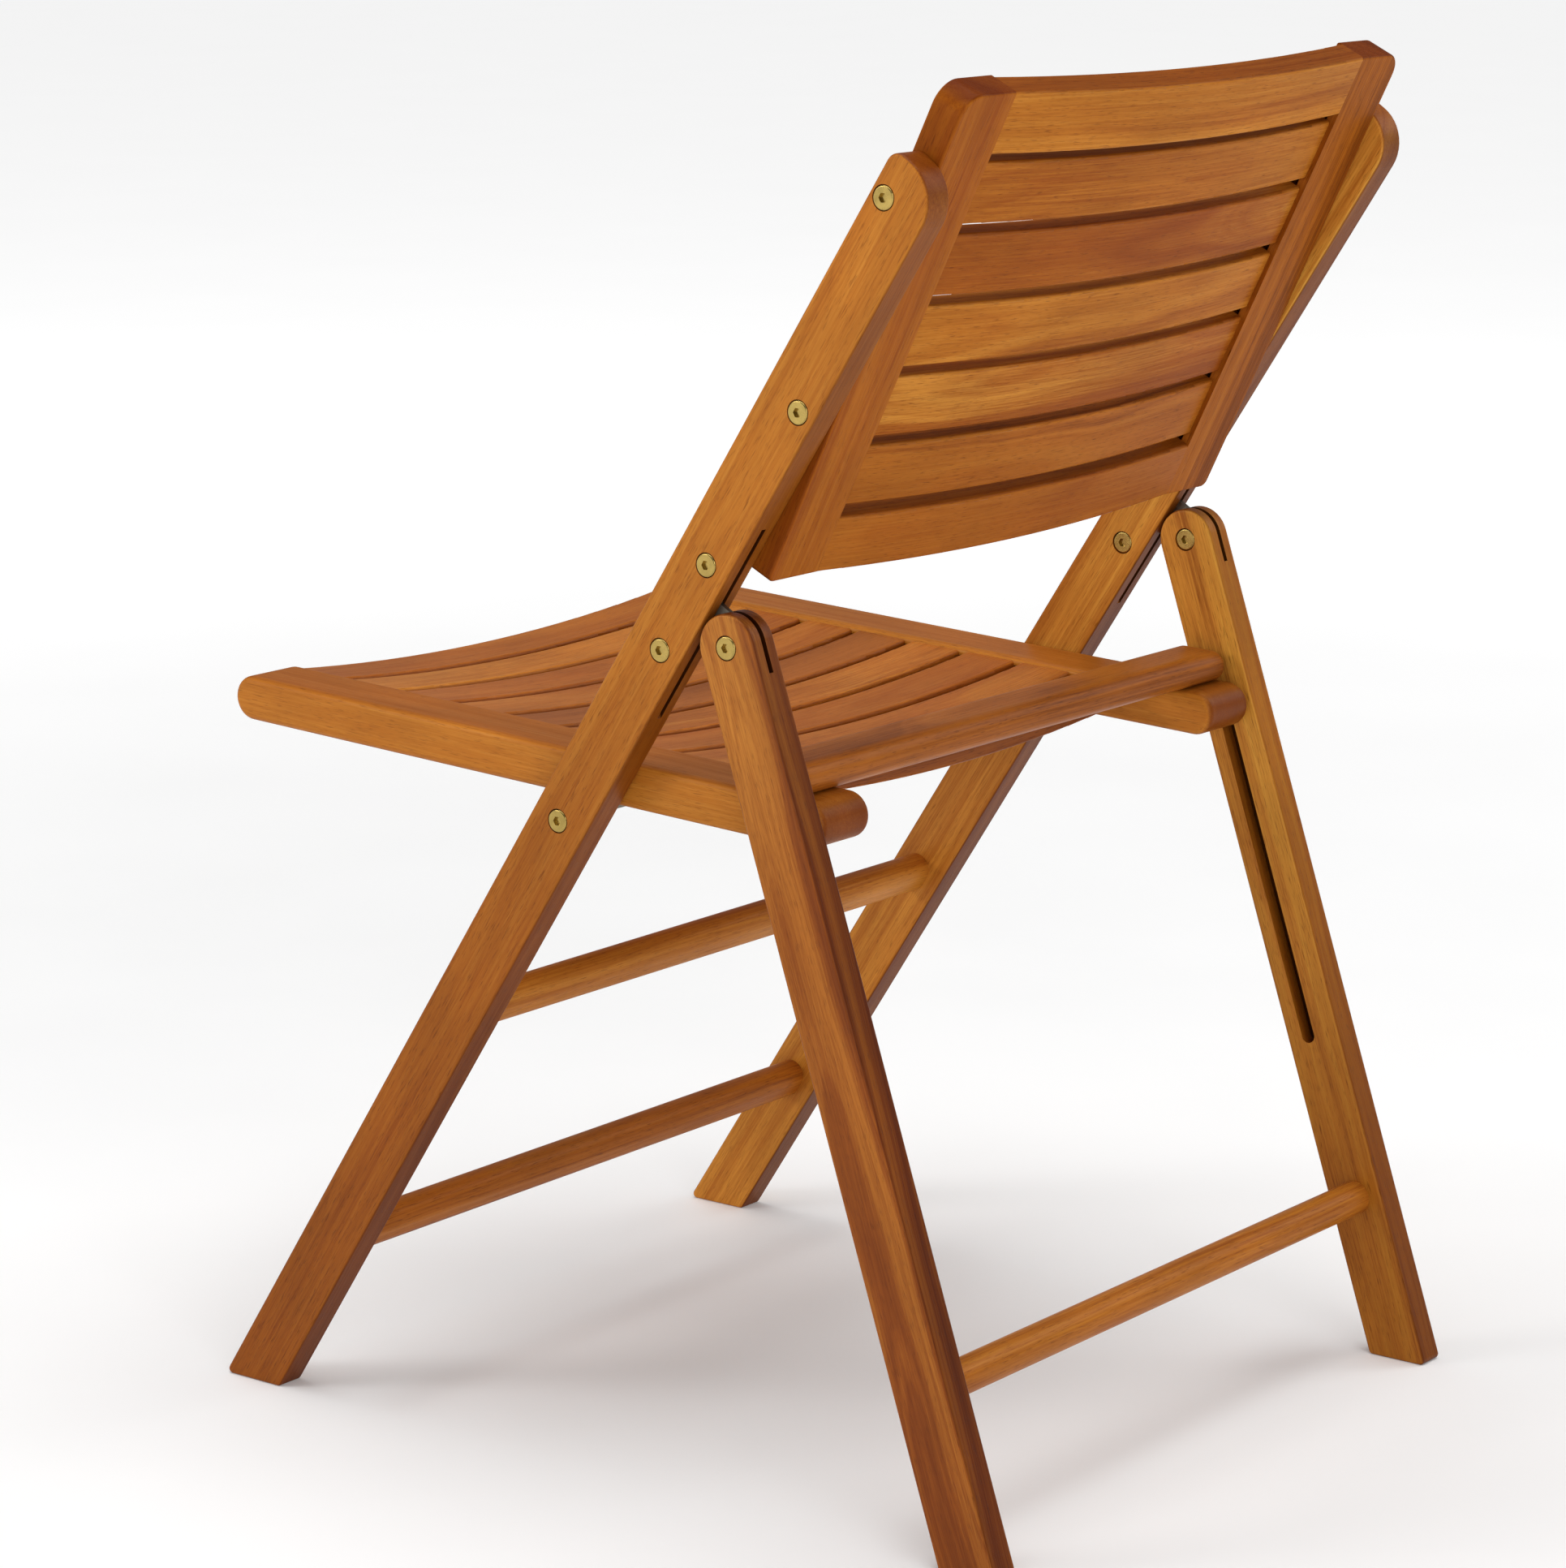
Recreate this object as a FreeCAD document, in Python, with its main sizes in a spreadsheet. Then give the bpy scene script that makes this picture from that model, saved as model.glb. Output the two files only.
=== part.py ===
import FreeCAD, Part
import Sketcher
import math
import os

# Folding wooden chair, oiled hardwood with brass-coloured furniture bolts.
# Frame: +Z up, the chair faces -Y, the sitter's left side is +X, and the origin
# is the centre of the footprint at floor level. Millimetres and degrees.

doc = FreeCAD.newDocument("folding_chair")
V = FreeCAD.Vector

# ---------------------------------------------------------------- dimensions
DIMS = [
    # overall
    ("half_width", 240.0), ("mid_depth", 295.62),
    # posts (front leg and back upright in one piece)
    ("post_thick", 20.0), ("post_wide", 38.0), ("post_long", 939.0),
    ("post_lean", 33.5), ("post_top_round", 25.0), ("post_top_nose", 8.0),
    ("foot_round", 3.0), ("ease", 1.7),
    # rear legs, pivoting on steel plates let into the posts
    ("leg_lean", 18.24), ("pivot_along", 643.0), ("pivot_behind", 58.6),
    ("groove_wide", 9.0), ("groove_deep", 10.0), ("groove_offset", 3.5),
    ("groove_start", 100.0), ("groove_end", 320.0), ("pin_start", 104.0),
    ("pin_size", 8.0), ("pin_reach", 11.1),
    # hinge plates
    ("plate_thick", 3.0), ("plate_slot", 3.6), ("plate_round", 14.0),
    ("plate_front", 12.5), ("plate_back", 36.0), ("plate_margin", 8.2),
    ("plate_upper_along", 673.0), ("plate_upper_behind", 22.5),
    ("plate_lower_along", 611.7), ("plate_lower_behind", 22.9),
    # seat
    ("seat_tilt", 2.94), ("seat_front", 17.2), ("seat_rise", 426.5),
    ("rail_inner", 174.0), ("rail_wide", 44.0), ("rail_high", 27.0),
    ("rail_run", 424.0), ("seat_pivot_back", 264.3), ("seat_pivot_drop", 23.07),
    ("slat_count", 9.0), ("slat_first", 12.2), ("slat_pitch", 42.95),
    ("slat_wide", 38.0), ("slat_thick", 12.0), ("slat_drop", 2.5),
    ("slat_dish", 9.5), ("tenon_thick", 6.0), ("tenon_long", 10.0),
    ("crossbar_back", 402.5), ("crossbar_wide", 38.0), ("crossbar_high", 19.0),
    ("crossbar_half", 216.0),
    ("bracket_thick", 2.5), ("bracket_round", 23.0), ("ear_round", 10.5), ("bracket_inner", 186.0),
    # back panel
    ("panel_lean", 26.4), ("panel_y", 418.0), ("panel_z", 538.7),
    ("panel_long", 302.0), ("stile_wide", 44.0), ("stile_thick", 20.0),
    ("stile_corner", 14.0), ("panel_rail_thick", 18.0),
    ("bottom_rail_wide", 36.0), ("top_rail_wide", 38.0),
    ("panel_gap", 6.0), ("panel_slat_wide", 38.4), ("panel_slat_thick", 12.0),
    ("panel_slat_inset", 3.0), ("panel_bow", 9.0),
    # stretchers
    ("stretcher_long", 26.0), ("stretcher_short", 20.0),
    ("stretcher_upper_along", 325.0), ("stretcher_lower_along", 134.0),
    ("stretcher_behind", 18.0), ("rear_stretcher_size", 21.0),
    ("rear_stretcher_down", 425.0), ("peg_size", 14.0), ("peg_long", 10.0),
    ("peg_hole", 14.2),
    # fasteners
    ("head_size", 13.5), ("head_high", 2.6), ("bore_size", 14.4), ("bore_deep", 2.2),
    ("shank_size", 6.0), ("sleeve_size", 8.0), ("sleeve_hole", 8.2),
    ("socket_size", 5.0), ("socket_deep", 1.9),
    ("back_bolt_upper_along", 913.1), ("back_bolt_upper_behind", 9.3),
    ("back_bolt_lower_along", 783.0), ("back_bolt_lower_behind", 26.6),
    ("back_bolt_long", 48.0),
]
sheet = doc.addObject("Spreadsheet::Sheet", "Dims")
for row, (alias, value) in enumerate(DIMS, start=1):
    sheet.set("A%d" % row, alias)
    sheet.set("B%d" % row, repr(value))
    sheet.setAlias("B%d" % row, alias)
doc.recompute()


class Q:
    """A size that carries its number and the sheet expression that gives it."""

    def __init__(self, value, text):
        self.v = value
        self.e = text

    @staticmethod
    def of(other):
        if isinstance(other, Q):
            return other
        return Q(float(other), repr(float(other)))

    def __add__(self, o):
        o = Q.of(o)
        return Q(self.v + o.v, "(%s + %s)" % (self.e, o.e))

    __radd__ = __add__

    def __sub__(self, o):
        o = Q.of(o)
        return Q(self.v - o.v, "(%s - %s)" % (self.e, o.e))

    def __rsub__(self, o):
        return Q.of(o) - self

    def __mul__(self, o):
        o = Q.of(o)
        return Q(self.v * o.v, "(%s * %s)" % (self.e, o.e))

    __rmul__ = __mul__

    def __truediv__(self, o):
        o = Q.of(o)
        return Q(self.v / o.v, "(%s / %s)" % (self.e, o.e))

    def __neg__(self):
        return Q(-self.v, "(0 - %s)" % self.e)


def qsin(q):
    return Q(math.sin(math.radians(q.v)), "sin(%s * 1 deg)" % q.e)


def qcos(q):
    return Q(math.cos(math.radians(q.v)), "cos(%s * 1 deg)" % q.e)


def qtan(q):
    return Q(math.tan(math.radians(q.v)), "tan(%s * 1 deg)" % q.e)


D = {alias: Q(value, "Dims.%s" % alias) for alias, value in DIMS}

problems = []
parts = []          # (node name, object)


# ------------------------------------------------------------------- helpers
def body(label):
    b = doc.addObject("PartDesign::Body", label)
    b.Label = label
    return b


def plane(b, role):
    for f in b.Origin.OriginFeatures:
        if f.Role == role:
            return f
    raise RuntimeError("no plane " + role)


def fix(sk, geo, pos, x, y):
    """Pins one point of the sketch to the sheet's sizes."""
    x, y = Q.of(x), Q.of(y)
    if abs(x.v) < 1e-9:
        sk.addConstraint(Sketcher.Constraint("PointOnObject", geo, pos, -2))
    else:
        n = sk.addConstraint(Sketcher.Constraint("DistanceX", -1, 1, geo, pos, x.v))
        sk.setExpression("Constraints[%d]" % n, x.e)
    if abs(y.v) < 1e-9:
        sk.addConstraint(Sketcher.Constraint("PointOnObject", geo, pos, -1))
    else:
        n = sk.addConstraint(Sketcher.Constraint("DistanceY", -1, 1, geo, pos, y.v))
        sk.setExpression("Constraints[%d]" % n, y.e)


def sketch(b, name, role, offset=None):
    sk = b.newObject("Sketcher::SketchObject", b.Label + "_" + name)
    sk.AttachmentSupport = [(plane(b, role), "")]
    sk.MapMode = "FlatFace"
    if offset is not None:
        offset = Q.of(offset)
        sk.AttachmentOffset = FreeCAD.Placement(V(0, 0, offset.v), FreeCAD.Rotation())
        sk.setExpression("AttachmentOffset.Base.z", offset.e)
    return sk


def outline(sk, items):
    """Closed outline. Each item is a start point (x, y) and how it goes on:
    ("line",) or ("arc", middle point, radius Q) or ("round", centre x or None, centre y or None)."""
    n = len(items)
    first = len(sk.Geometry)
    ends = []
    for i, it in enumerate(items):
        p, q = it[0], items[(i + 1) % n][0]
        a = V(Q.of(p[0]).v, Q.of(p[1]).v, 0)
        c = V(Q.of(q[0]).v, Q.of(q[1]).v, 0)
        if it[1] == "line":
            sk.addGeometry(Part.LineSegment(a, c), False)
            ends.append((1, 2))
            continue
        m = V(Q.of(it[2][0]).v, Q.of(it[2][1]).v, 0)
        # arcs always run anticlockwise
        turn = (m - a).x * (c - m).y - (m - a).y * (c - m).x
        if turn > 0:
            sk.addGeometry(Part.Arc(a, m, c), False)
            ends.append((1, 2))
        else:
            sk.addGeometry(Part.Arc(c, m, a), False)
            ends.append((2, 1))
    for i in range(n):
        j = (i + 1) % n
        sk.addConstraint(Sketcher.Constraint("Coincident", first + i, ends[i][1], first + j, ends[j][0]))
    for i, it in enumerate(items):
        fix(sk, first + i, ends[i][0], it[0][0], it[0][1])
        if it[1] == "arc":
            r = it[3]
            k = sk.addConstraint(Sketcher.Constraint("Radius", first + i, r.v))
            sk.setExpression("Constraints[%d]" % k, r.e)
        elif it[1] == "round":
            along, value = it[3]
            value = Q.of(value)
            if abs(value.v) < 1e-9:
                sk.addConstraint(Sketcher.Constraint("PointOnObject", first + i, 3, -2 if along == "x" else -1))
            else:
                kind = "DistanceX" if along == "x" else "DistanceY"
                k = sk.addConstraint(Sketcher.Constraint(kind, -1, 1, first + i, 3, value.v))
                sk.setExpression("Constraints[%d]" % k, value.e)
    return sk


def circles(sk, spots):
    """Circles: (x, y, diameter)."""
    for x, y, d in spots:
        x, y, d = Q.of(x), Q.of(y), Q.of(d)
        g = sk.addGeometry(Part.Circle(V(x.v, y.v, 0), V(0, 0, 1), d.v / 2.0), False)
        fix(sk, g, 3, x, y)
        k = sk.addConstraint(Sketcher.Constraint("Diameter", g, d.v))
        sk.setExpression("Constraints[%d]" % k, d.e)
    return sk


def pad(b, sk, length, name="pad", mid=False, back=False):
    length = Q.of(length)
    f = b.newObject("PartDesign::Pad", b.Label + "_" + name)
    f.Profile = sk
    f.Length = length.v
    f.setExpression("Length", length.e)
    f.Midplane = mid
    f.Reversed = back
    b.Tip = f
    doc.recompute()
    return f


def pocket(b, sk, length, name, back=False, mid=False):
    """Cuts, and makes sure that something was removed."""
    before = b.Shape.Volume
    length = Q.of(length)
    f = b.newObject("PartDesign::Pocket", b.Label + "_" + name)
    f.Profile = sk
    f.Length = length.v
    f.setExpression("Length", length.e)
    f.Midplane = mid
    f.Reversed = back
    b.Tip = f
    doc.recompute()
    if not b.Shape.Volume < before - 0.5:
        problems.append("%s %s cut nothing" % (b.Label, name))
    return f


def fillet(b, pick, radius, name):
    """Rounds the tip's edges that pick(edge) chooses."""
    tip = b.Tip
    names = []
    for i, e in enumerate(tip.Shape.Edges, start=1):
        if pick(e):
            names.append("Edge%d" % i)
    if not names:
        problems.append("%s %s found no edge" % (b.Label, name))
        return None
    radius = Q.of(radius)
    f = b.newObject("PartDesign::Fillet", b.Label + "_" + name)
    f.Base = (tip, names)
    f.Radius = radius.v
    f.setExpression("Radius", radius.e)
    b.Tip = f
    doc.recompute()
    if "Invalid" in f.State or "Error" in f.State or f.Shape.isNull() or not f.Shape.isValid():
        problems.append("%s %s did not round" % (b.Label, name))
    return f


def near(value, target, tol=0.05):
    return abs(value - target) < tol


def ends_of(e):
    return [v.Point for v in e.Vertexes]


def along_x(y, z, tol=0.2):
    """An edge that runs along X at this y and z."""
    def pick(e):
        return all(near(p.y, y, tol) and near(p.z, z, tol) for p in ends_of(e)) and e.Length > 1
    return pick


def side_edges(x_low, x_high):
    """Edges that lie in either side face."""
    def pick(e):
        bb = e.BoundBox
        return (near(bb.XMin, x_low, 0.01) and near(bb.XMax, x_low, 0.01)) or \
               (near(bb.XMin, x_high, 0.01) and near(bb.XMax, x_high, 0.01))
    return pick


def place(obj, x, y, z, angle):
    """Sets an object's place: turned about X, then moved."""
    x, y, z, angle = Q.of(x), Q.of(y), Q.of(z), Q.of(angle)
    obj.Placement = FreeCAD.Placement(V(x.v, y.v, z.v), FreeCAD.Rotation(V(1, 0, 0), angle.v))
    obj.setExpression("Placement.Base.x", x.e)
    obj.setExpression("Placement.Base.y", y.e)
    obj.setExpression("Placement.Base.z", z.e)
    obj.setExpression("Placement.Rotation.Angle", angle.e)
    doc.recompute()


def keep(label, obj):
    parts.append((label, obj))


# frames ------------------------------------------------------------------
T = D["post_lean"]
L = D["leg_lean"]
post_in = D["half_width"] - D["post_thick"]


def post_point(along, behind):
    """World y and z of a spot given along and behind the post's front edge."""
    y = along * qsin(T) + behind * qcos(T) - D["mid_depth"]
    z = along * qcos(T) - behind * qsin(T)
    return y, z


def post_place(obj, x):
    place(obj, x, -D["mid_depth"], 0.0, -T)


hinge_y, hinge_z = post_point(D["pivot_along"], D["pivot_behind"])


def leg_place(obj, x):
    place(obj, x, hinge_y, hinge_z, L)


def seat_place(obj, x, back=0.0, up=0.0):
    back, up = Q.of(back), Q.of(up)
    y = D["seat_front"] - D["mid_depth"] + back * qcos(D["seat_tilt"]) + up * qsin(D["seat_tilt"])
    z = D["seat_rise"] - back * qsin(D["seat_tilt"]) + up * qcos(D["seat_tilt"])
    place(obj, x, y, z, -D["seat_tilt"])


def panel_place(obj, x, back=0.0, up=0.0):
    back, up = Q.of(back), Q.of(up)
    y = D["panel_y"] - D["mid_depth"] + back * qcos(D["panel_lean"]) + up * qsin(D["panel_lean"])
    z = D["panel_z"] - back * qsin(D["panel_lean"]) + up * qcos(D["panel_lean"])
    place(obj, x, y, z, -D["panel_lean"])


# ---------------------------------------------------------------------- posts
def post(label, left):
    b = body(label)
    w, l = D["post_wide"], D["post_long"]
    sk = outline(sketch(b, "side", "YZ_Plane"), [
        ((0, 0), "line"), ((w, w * qtan(T)), "line"), ((w, l), "line"), ((0, l), "line")])
    pad(b, sk, D["post_thick"])
    fillet(b, along_x(w.v, l.v), D["post_top_round"], "top_round")
    fillet(b, along_x(0, l.v), D["post_top_nose"], "top_nose")
    fillet(b, lambda e: along_x(0, 0)(e) or along_x(w.v, (w * qtan(T)).v)(e), D["foot_round"], "foot")
    fillet(b, side_edges(0, D["post_thick"].v), D["ease"], "ease")
    t = D["post_thick"]
    outer = t if left else Q.of(0)
    inner = Q.of(0) if left else t
    b1 = (D["back_bolt_upper_behind"], D["back_bolt_upper_along"])
    b2 = (D["back_bolt_lower_behind"], D["back_bolt_lower_along"])
    b3 = (D["plate_upper_behind"], D["plate_upper_along"])
    b4 = (D["plate_lower_behind"], D["plate_lower_along"])
    b5y = D["seat_front"] + D["seat_pivot_back"] * qcos(D["seat_tilt"]) - D["seat_pivot_drop"] * qsin(D["seat_tilt"])
    b5z = D["seat_rise"] - D["seat_pivot_back"] * qsin(D["seat_tilt"]) - D["seat_pivot_drop"] * qcos(D["seat_tilt"])
    b5 = (b5y * qcos(T) - b5z * qsin(T), b5y * qsin(T) + b5z * qcos(T))
    # through holes, each the size of what passes
    s1 = circles(sketch(b, "holes", "YZ_Plane", t + 1.0), [
        (b1[0], b1[1], D["shank_size"] + 0.2), (b2[0], b2[1], D["shank_size"] + 0.2),
        (b3[0], b3[1], D["sleeve_hole"]), (b4[0], b4[1], D["sleeve_hole"]),
        (b5[0], b5[1], D["shank_size"] + 0.2)])
    pocket(b, s1, t + 2.0, "drill")
    # recesses for the bolt heads on the outer face
    s2 = circles(sketch(b, "recesses", "YZ_Plane", outer), [
        (p[0], p[1], D["bore_size"]) for p in (b1, b2, b3, b4, b5)])
    pocket(b, s2, D["bore_deep"], "recess", back=not left)
    # recesses for the sleeve nut heads on the inner face
    s3 = circles(sketch(b, "inner_recesses", "YZ_Plane", inner), [
        (p[0], p[1], D["bore_size"]) for p in (b3, b4)])
    pocket(b, s3, D["bore_deep"] + 0.6, "inner_recess", back=left)
    # peg holes for the two front stretchers, from the inner face
    s4 = circles(sketch(b, "peg_holes", "YZ_Plane", inner), [
        (D["stretcher_behind"], D["stretcher_upper_along"], D["peg_hole"]),
        (D["stretcher_behind"], D["stretcher_lower_along"], D["peg_hole"])])
    pocket(b, s4, D["peg_long"] + 0.5, "peg_hole", back=left)
    # saw slot for the steel hinge plate, open at the rear edge
    r = D["plate_margin"] + 3.8
    lo, hi = D["plate_lower_along"], D["plate_upper_along"]
    m = D["plate_lower_behind"]
    s5 = outline(sketch(b, "slot", "YZ_Plane", (t - D["plate_slot"]) / 2.0), [
        ((m - r, lo - r + 2.0), "line"), ((w + 4.0, lo - 44.0), "line"),
        ((w + 4.0, hi + 40.0), "line"), ((m - r, hi + r - 2.0), "line")])
    pocket(b, s5, D["plate_slot"], "slot_cut", back=True)
    post_place(b, D["half_width"] - t if left else -D["half_width"])
    keep(label, b)
    return b


post("left_post", True)
post("right_post", False)


# ------------------------------------------------------------------ rear legs
def rear_leg(label, left):
    b = body(label)
    t = D["post_thick"]
    r = D["post_wide"] / 2.0
    reach_f = (hinge_z - r * qsin(L)) / qcos(L)
    reach_r = (hinge_z + r * qsin(L)) / qcos(L)
    sk = outline(sketch(b, "side", "YZ_Plane"), [
        ((-r, -reach_f), "line"), ((r, -reach_r), "line"),
        ((r, 0), "round", (0, r), ("y", 0)), ((-r, 0), "line")])
    pad(b, sk, t)
    fillet(b, lambda e: along_x(-r.v, -reach_f.v)(e) or along_x(r.v, -reach_r.v)(e), D["foot_round"], "foot")
    fillet(b, side_edges(0, t.v), D["ease"], "ease")
    outer = t if left else Q.of(0)
    inner = Q.of(0) if left else t
    s1 = circles(sketch(b, "hole", "YZ_Plane", t + 1.0), [(0, 0, D["sleeve_hole"])])
    pocket(b, s1, t + 2.0, "drill")
    s2 = circles(sketch(b, "recess", "YZ_Plane", outer), [(0, 0, D["bore_size"])])
    pocket(b, s2, D["bore_deep"], "recess_cut", back=not left)
    s3 = circles(sketch(b, "inner_recess", "YZ_Plane", inner), [(0, 0, D["bore_size"])])
    pocket(b, s3, D["bore_deep"] + 0.6, "inner_recess_cut", back=left)
    s4 = circles(sketch(b, "peg", "YZ_Plane", inner), [(0, -D["rear_stretcher_down"], D["peg_hole"])])
    pocket(b, s4, D["peg_long"] + 0.5, "peg_cut", back=left)
    # round-ended groove in the inner face for the seat's guide pin
    g = D["groove_wide"] / 2.0
    o = -D["groove_offset"]
    s5 = outline(sketch(b, "groove", "YZ_Plane", inner), [
        ((o + g, -D["groove_end"]), "line"),
        ((o + g, -D["groove_start"]), "round", (o, g - D["groove_start"]), ("y", -D["groove_start"])),
        ((o - g, -D["groove_start"]), "line"),
        ((o - g, -D["groove_end"]), "round", (o, -D["groove_end"] - g), ("y", -D["groove_end"]))])
    pocket(b, s5, D["groove_deep"], "groove_cut", back=left)
    # slot in the rounded top that swings over the hinge plate
    s6 = outline(sketch(b, "slot", "YZ_Plane", (t - D["plate_slot"]) / 2.0), [
        ((-r - 2.0, -36.0), "line"), ((r + 2.0, -18.5), "line"),
        ((r + 2.0, r + 3.0), "line"), ((-r - 2.0, r + 3.0), "line")])
    pocket(b, s6, D["plate_slot"], "slot_cut", back=True)
    leg_place(b, D["half_width"] - t if left else -D["half_width"])
    keep(label, b)
    return b


rear_leg("rear_leg_left", True)
rear_leg("rear_leg_right", False)


# ----------------------------------------------------------------- stretchers
def oval_bar(label, long_, short, half, pegs=True):
    """A bar along X with an obround section: local z is its long way."""
    b = body(label)
    s = short / 2.0
    f = (long_ - short) / 2.0
    sk = outline(sketch(b, "section", "YZ_Plane"), [
        ((s, -f), "line"), ((s, f), "round", (0, f + s), ("y", f)),
        ((-s, f), "line"), ((-s, -f), "round", (0, -f - s), ("y", -f))])
    pad(b, sk, half * 2.0, mid=True)
    if pegs:
        s2 = circles(sketch(b, "pegs", "YZ_Plane"), [(0, 0, D["peg_size"])])
        pad(b, s2, (half + D["peg_long"]) * 2.0, "peg", mid=True)
    return b


for label, along in (("front_upper_stretcher", D["stretcher_upper_along"]),
                     ("front_lower_stretcher", D["stretcher_lower_along"])):
    b = oval_bar(label, D["stretcher_long"], D["stretcher_short"], post_in)
    yy, zz = post_point(along, D["stretcher_behind"])
    place(b, 0.0, yy, zz, -T)
    keep(label, b)

b = body("rear_stretcher")
s1 = circles(sketch(b, "section", "YZ_Plane"), [(0, 0, D["rear_stretcher_size"])])
pad(b, s1, post_in * 2.0, mid=True)
s2 = circles(sketch(b, "pegs", "YZ_Plane"), [(0, 0, D["peg_size"])])
pad(b, s2, (post_in + D["peg_long"]) * 2.0, "peg", mid=True)
place(b, 0.0, hinge_y + D["rear_stretcher_down"] * qsin(L), hinge_z - D["rear_stretcher_down"] * qcos(L), L)
keep("rear_stretcher", b)


# --------------------------------------------------------------- hinge plates
def hinge_plate(label, left):
    """Flat steel plate: a strip let into the post, with a round lug for the pivot."""
    b = body(label)
    r = D["plate_round"]
    ua, la = D["plate_upper_along"], D["plate_lower_along"]
    pw, pa = D["pivot_behind"], D["pivot_along"]
    x0, x1 = D["plate_front"], D["plate_back"]
    margin = D["plate_margin"]
    sk = outline(sketch(b, "face", "YZ_Plane"), [
        ((x0, la - margin), "line"), ((x1, la - margin), "line"), ((x1, pa - r + 1.0), "line"),
        ((pw, pa - r), "round", (pw + r, pa), ("x", pw)),
        ((pw, pa + r), "line"), ((x1, pa + r - 1.0), "line"),
        ((x1, ua + margin), "line"), ((x0, ua + margin), "line")])
    pad(b, sk, D["plate_thick"])

    def outer_corner(e):
        return e.BoundBox.XLength > 1 and all(
            near(p.y, x0.v) and (near(p.z, (la - margin).v) or near(p.z, (ua + margin).v)) for p in ends_of(e))
    fillet(b, outer_corner, 4.0, "corners")
    s2 = circles(sketch(b, "holes", "YZ_Plane", D["plate_thick"] + 1.0), [
        (D["plate_lower_behind"], la, D["sleeve_hole"]), (pw, pa, D["sleeve_hole"]),
        (D["plate_upper_behind"], ua, D["sleeve_hole"])])
    pocket(b, s2, D["plate_thick"] + 2.0, "drill")
    mid = D["half_width"] - D["post_thick"] / 2.0
    post_place(b, mid - D["plate_thick"] / 2.0 if left else -mid - D["plate_thick"] / 2.0)
    keep(label, b)


hinge_plate("hinge_plate_left", True)
hinge_plate("hinge_plate_right", False)


# ----------------------------------------------------------------------- seat
RH = D["rail_high"] / 2.0


def seat_rail(label, left):
    b = body(label)
    run = D["rail_run"]
    sk = outline(sketch(b, "side", "YZ_Plane"), [
        ((0, -RH), "line"), ((run, -RH), "round", (run + RH, 0), ("x", run)),
        ((run, RH), "line"), ((0, RH), "round", (-RH, 0), ("x", 0))])
    pad(b, sk, D["rail_wide"])
    fillet(b, side_edges(0, D["rail_wide"].v), 4.0, "ease")
    # groove for the slats' tenons, in the inner face
    inner = Q.of(0) if left else D["rail_wide"]
    top = RH - D["slat_drop"] - (D["slat_thick"] - D["tenon_thick"]) / 2.0 + 0.1
    y0 = D["slat_first"] - D["slat_wide"] / 2.0 + 5.0
    y1 = D["slat_first"] + D["slat_pitch"] * (D["slat_count"] - 1.0) + D["slat_wide"] / 2.0 - 5.0
    s2 = outline(sketch(b, "groove", "YZ_Plane", inner), [
        ((y0 - 0.2, top - D["tenon_thick"] - 0.2), "line"), ((y1 + 0.2, top - D["tenon_thick"] - 0.2), "line"),
        ((y1 + 0.2, top), "line"), ((y0 - 0.2, top), "line")])
    pocket(b, s2, D["tenon_long"] + 0.5, "groove_cut", back=left)
    # two clearance holes for the crossbar's screws, from below
    s3 = circles(sketch(b, "screws", "XY_Plane", -RH - 1.0), [
        (D["rail_wide"] / 2.0, D["crossbar_back"], 4.4)])
    pocket(b, s3, D["rail_high"] + 2.0, "screw_hole", back=True)
    s4 = circles(sketch(b, "screw_heads", "XY_Plane", -RH), [
        (D["rail_wide"] / 2.0, D["crossbar_back"], 9.0)])
    pocket(b, s4, 6.0, "screw_recess", back=True)
    # pilot holes for the bracket's two screws
    cx = D["bracket_inner"] + 12.0 - D["rail_inner"]
    cx = cx if left else D["rail_wide"] - cx
    s5 = circles(sketch(b, "pilots", "XY_Plane", -RH), [
        (cx, D["seat_pivot_back"] - 14.0, 3.6), (cx, D["seat_pivot_back"] + 14.0, 3.6)])
    pocket(b, s5, 15.0, "pilot", back=True)
    seat_place(b, D["rail_inner"] if left else -D["rail_inner"] - D["rail_wide"])
    keep(label, b)


seat_rail("seat_rail_left", True)
seat_rail("seat_rail_right", False)


def bowed(label, half, thick, sag, wide, tenon, tenon_top, down):
    """A curved board along X. Its section is in XZ, its width is along local Y.
    down is 1 when the middle sags (seat), and the same shape serves the back."""
    b = body(label)
    radius = (half * half + sag * sag) / (sag * 2.0)
    tl = D["tenon_long"]
    h = half
    sk = outline(sketch(b, "curve", "XZ_Plane"), [
        ((h, 0), "line"), ((h, -tenon_top), "line"), ((h + tl, -tenon_top), "line"),
        ((h + tl, -tenon_top - tenon), "line"), ((h, -tenon_top - tenon), "line"),
        ((h, -thick), "arc", (0, -thick - sag), radius),
        ((-h, -thick), "line"), ((-h, -tenon_top - tenon), "line"),
        ((-h - tl, -tenon_top - tenon), "line"), ((-h - tl, -tenon_top), "line"),
        ((-h, -tenon_top), "line"), ((-h, 0), "arc", (0, -sag), radius)])
    pad(b, sk, wide, mid=True)
    return b


def long_arc(y_values, low, high):
    """The curved long edges at these y values with a middle z between low and high."""
    def pick(e):
        bb = e.BoundBox
        if bb.XLength < 200:
            return False
        return any(near(bb.YMin, y, 0.02) and near(bb.YMax, y, 0.02) for y in y_values) and low < bb.ZMin < high
    return pick


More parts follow.
